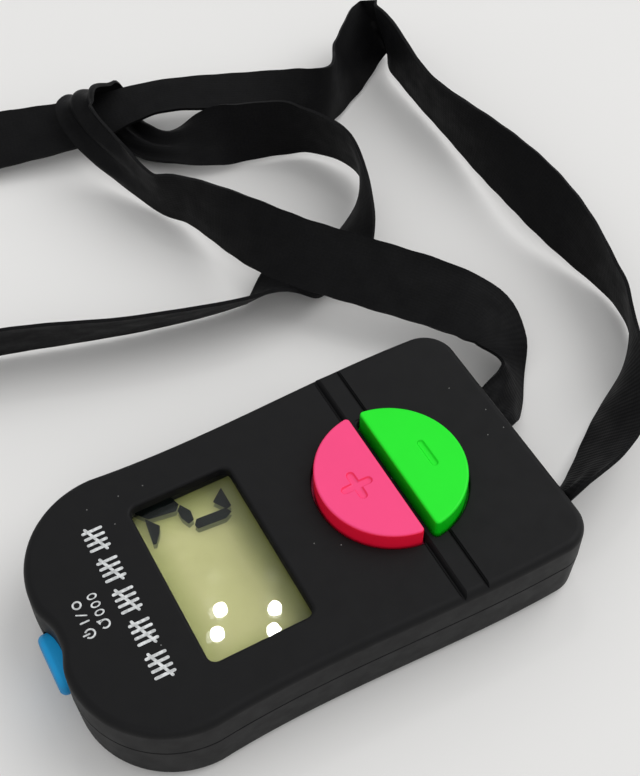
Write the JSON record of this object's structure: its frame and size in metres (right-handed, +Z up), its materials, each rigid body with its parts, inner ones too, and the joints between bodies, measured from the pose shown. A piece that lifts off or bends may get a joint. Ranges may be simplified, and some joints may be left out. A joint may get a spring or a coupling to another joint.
{
  "type": "hand tally counter",
  "caption": "Pocket electronic tally counter with a small display, paired half-disc counting buttons, an end reset button and a flat neck lanyard.",
  "frame": {"origin": "centre of the underside of the counter, without its lanyard", "axes": "+Z up through the display, +Y along the case to the lanyard end, +X across the case"},
  "size_m": [0.1293, 0.2006, 0.016],
  "materials": {
    "case": "fine matte moulding",
    "lens": "clear glossy plastic",
    "display_glass": "polished glass",
    "display_reflector": "satin yellow-green foil",
    "inner_plastic": "moulded",
    "contact_rubber": "layered silicone",
    "pink_button": "satin",
    "green_button": "satin",
    "blue_button": "satin",
    "board": "solder mask on glass-epoxy laminate",
    "chip_resin": "poured resin",
    "ceramic_chip": "bare ceramic",
    "steel": "bright plated",
    "contact_metal": "plated spring strip",
    "ribbon": "woven satin ribbon"
  },
  "bodies": {
    "case": {"front_shell": "case", "back_shell": "case", "lcd_lens": "lens", "lcd_front_glass": "display_glass", "lcd_rear_glass": "display_glass", "lcd_reflector": "display_reflector", "lcd_holder": "inner_plastic", "zebra_strip": "contact_rubber", "circuit_board": "board", "chip_blob": "chip_resin", "plus_switch": "inner_plastic", "minus_switch": "inner_plastic", "reset_switch": "inner_plastic", "crystal_can": "steel", "capacitor": "ceramic_chip", "resistor_1": "ceramic_chip", "resistor_2": "ceramic_chip", "button_cell": "steel", "positive_contact": "contact_metal", "negative_contact": "contact_metal", "case_screw_1": "steel", "case_screw_2": "steel", "case_screw_3": "steel", "case_screw_4": "steel", "board_screw_1": "steel", "board_screw_2": "steel", "board_screw_3": "steel", "board_screw_4": "steel", "anchor_pin": "steel", "strap_end_left": "ribbon", "strap_end_right": "ribbon", "lanyard_ribbon": "ribbon"},
    "plus": {"plus_button": "pink_button", "plus_switch_plunger": "inner_plastic"},
    "minus": {"minus_button": "green_button", "minus_switch_plunger": "inner_plastic"},
    "reset": {"reset_button": "blue_button", "reset_switch_plunger": "inner_plastic"},
    "cap": {"battery_cap": "case"}
  },
  "joints": [
    {"name": "plus_press", "type": "slide", "parent": "case", "child": "plus", "axis": [0, 0, -1], "range_m": [0, 0.0007], "stiffness_N_per_m": 3000},
    {"name": "minus_press", "type": "slide", "parent": "case", "child": "minus", "axis": [0, 0, -1], "range_m": [0, 0.0007], "stiffness_N_per_m": 3000},
    {"name": "reset_press", "type": "slide", "parent": "case", "child": "reset", "axis": [0, 1, 0], "range_m": [0, 0.0006], "stiffness_N_per_m": 3500},
    {"name": "cap_turn", "type": "hinge", "parent": "case", "child": "cap", "pos_m": [0, -0.006, 0.0008], "axis": [0, 0, 1], "range_deg": [0, 60]}
  ]
}
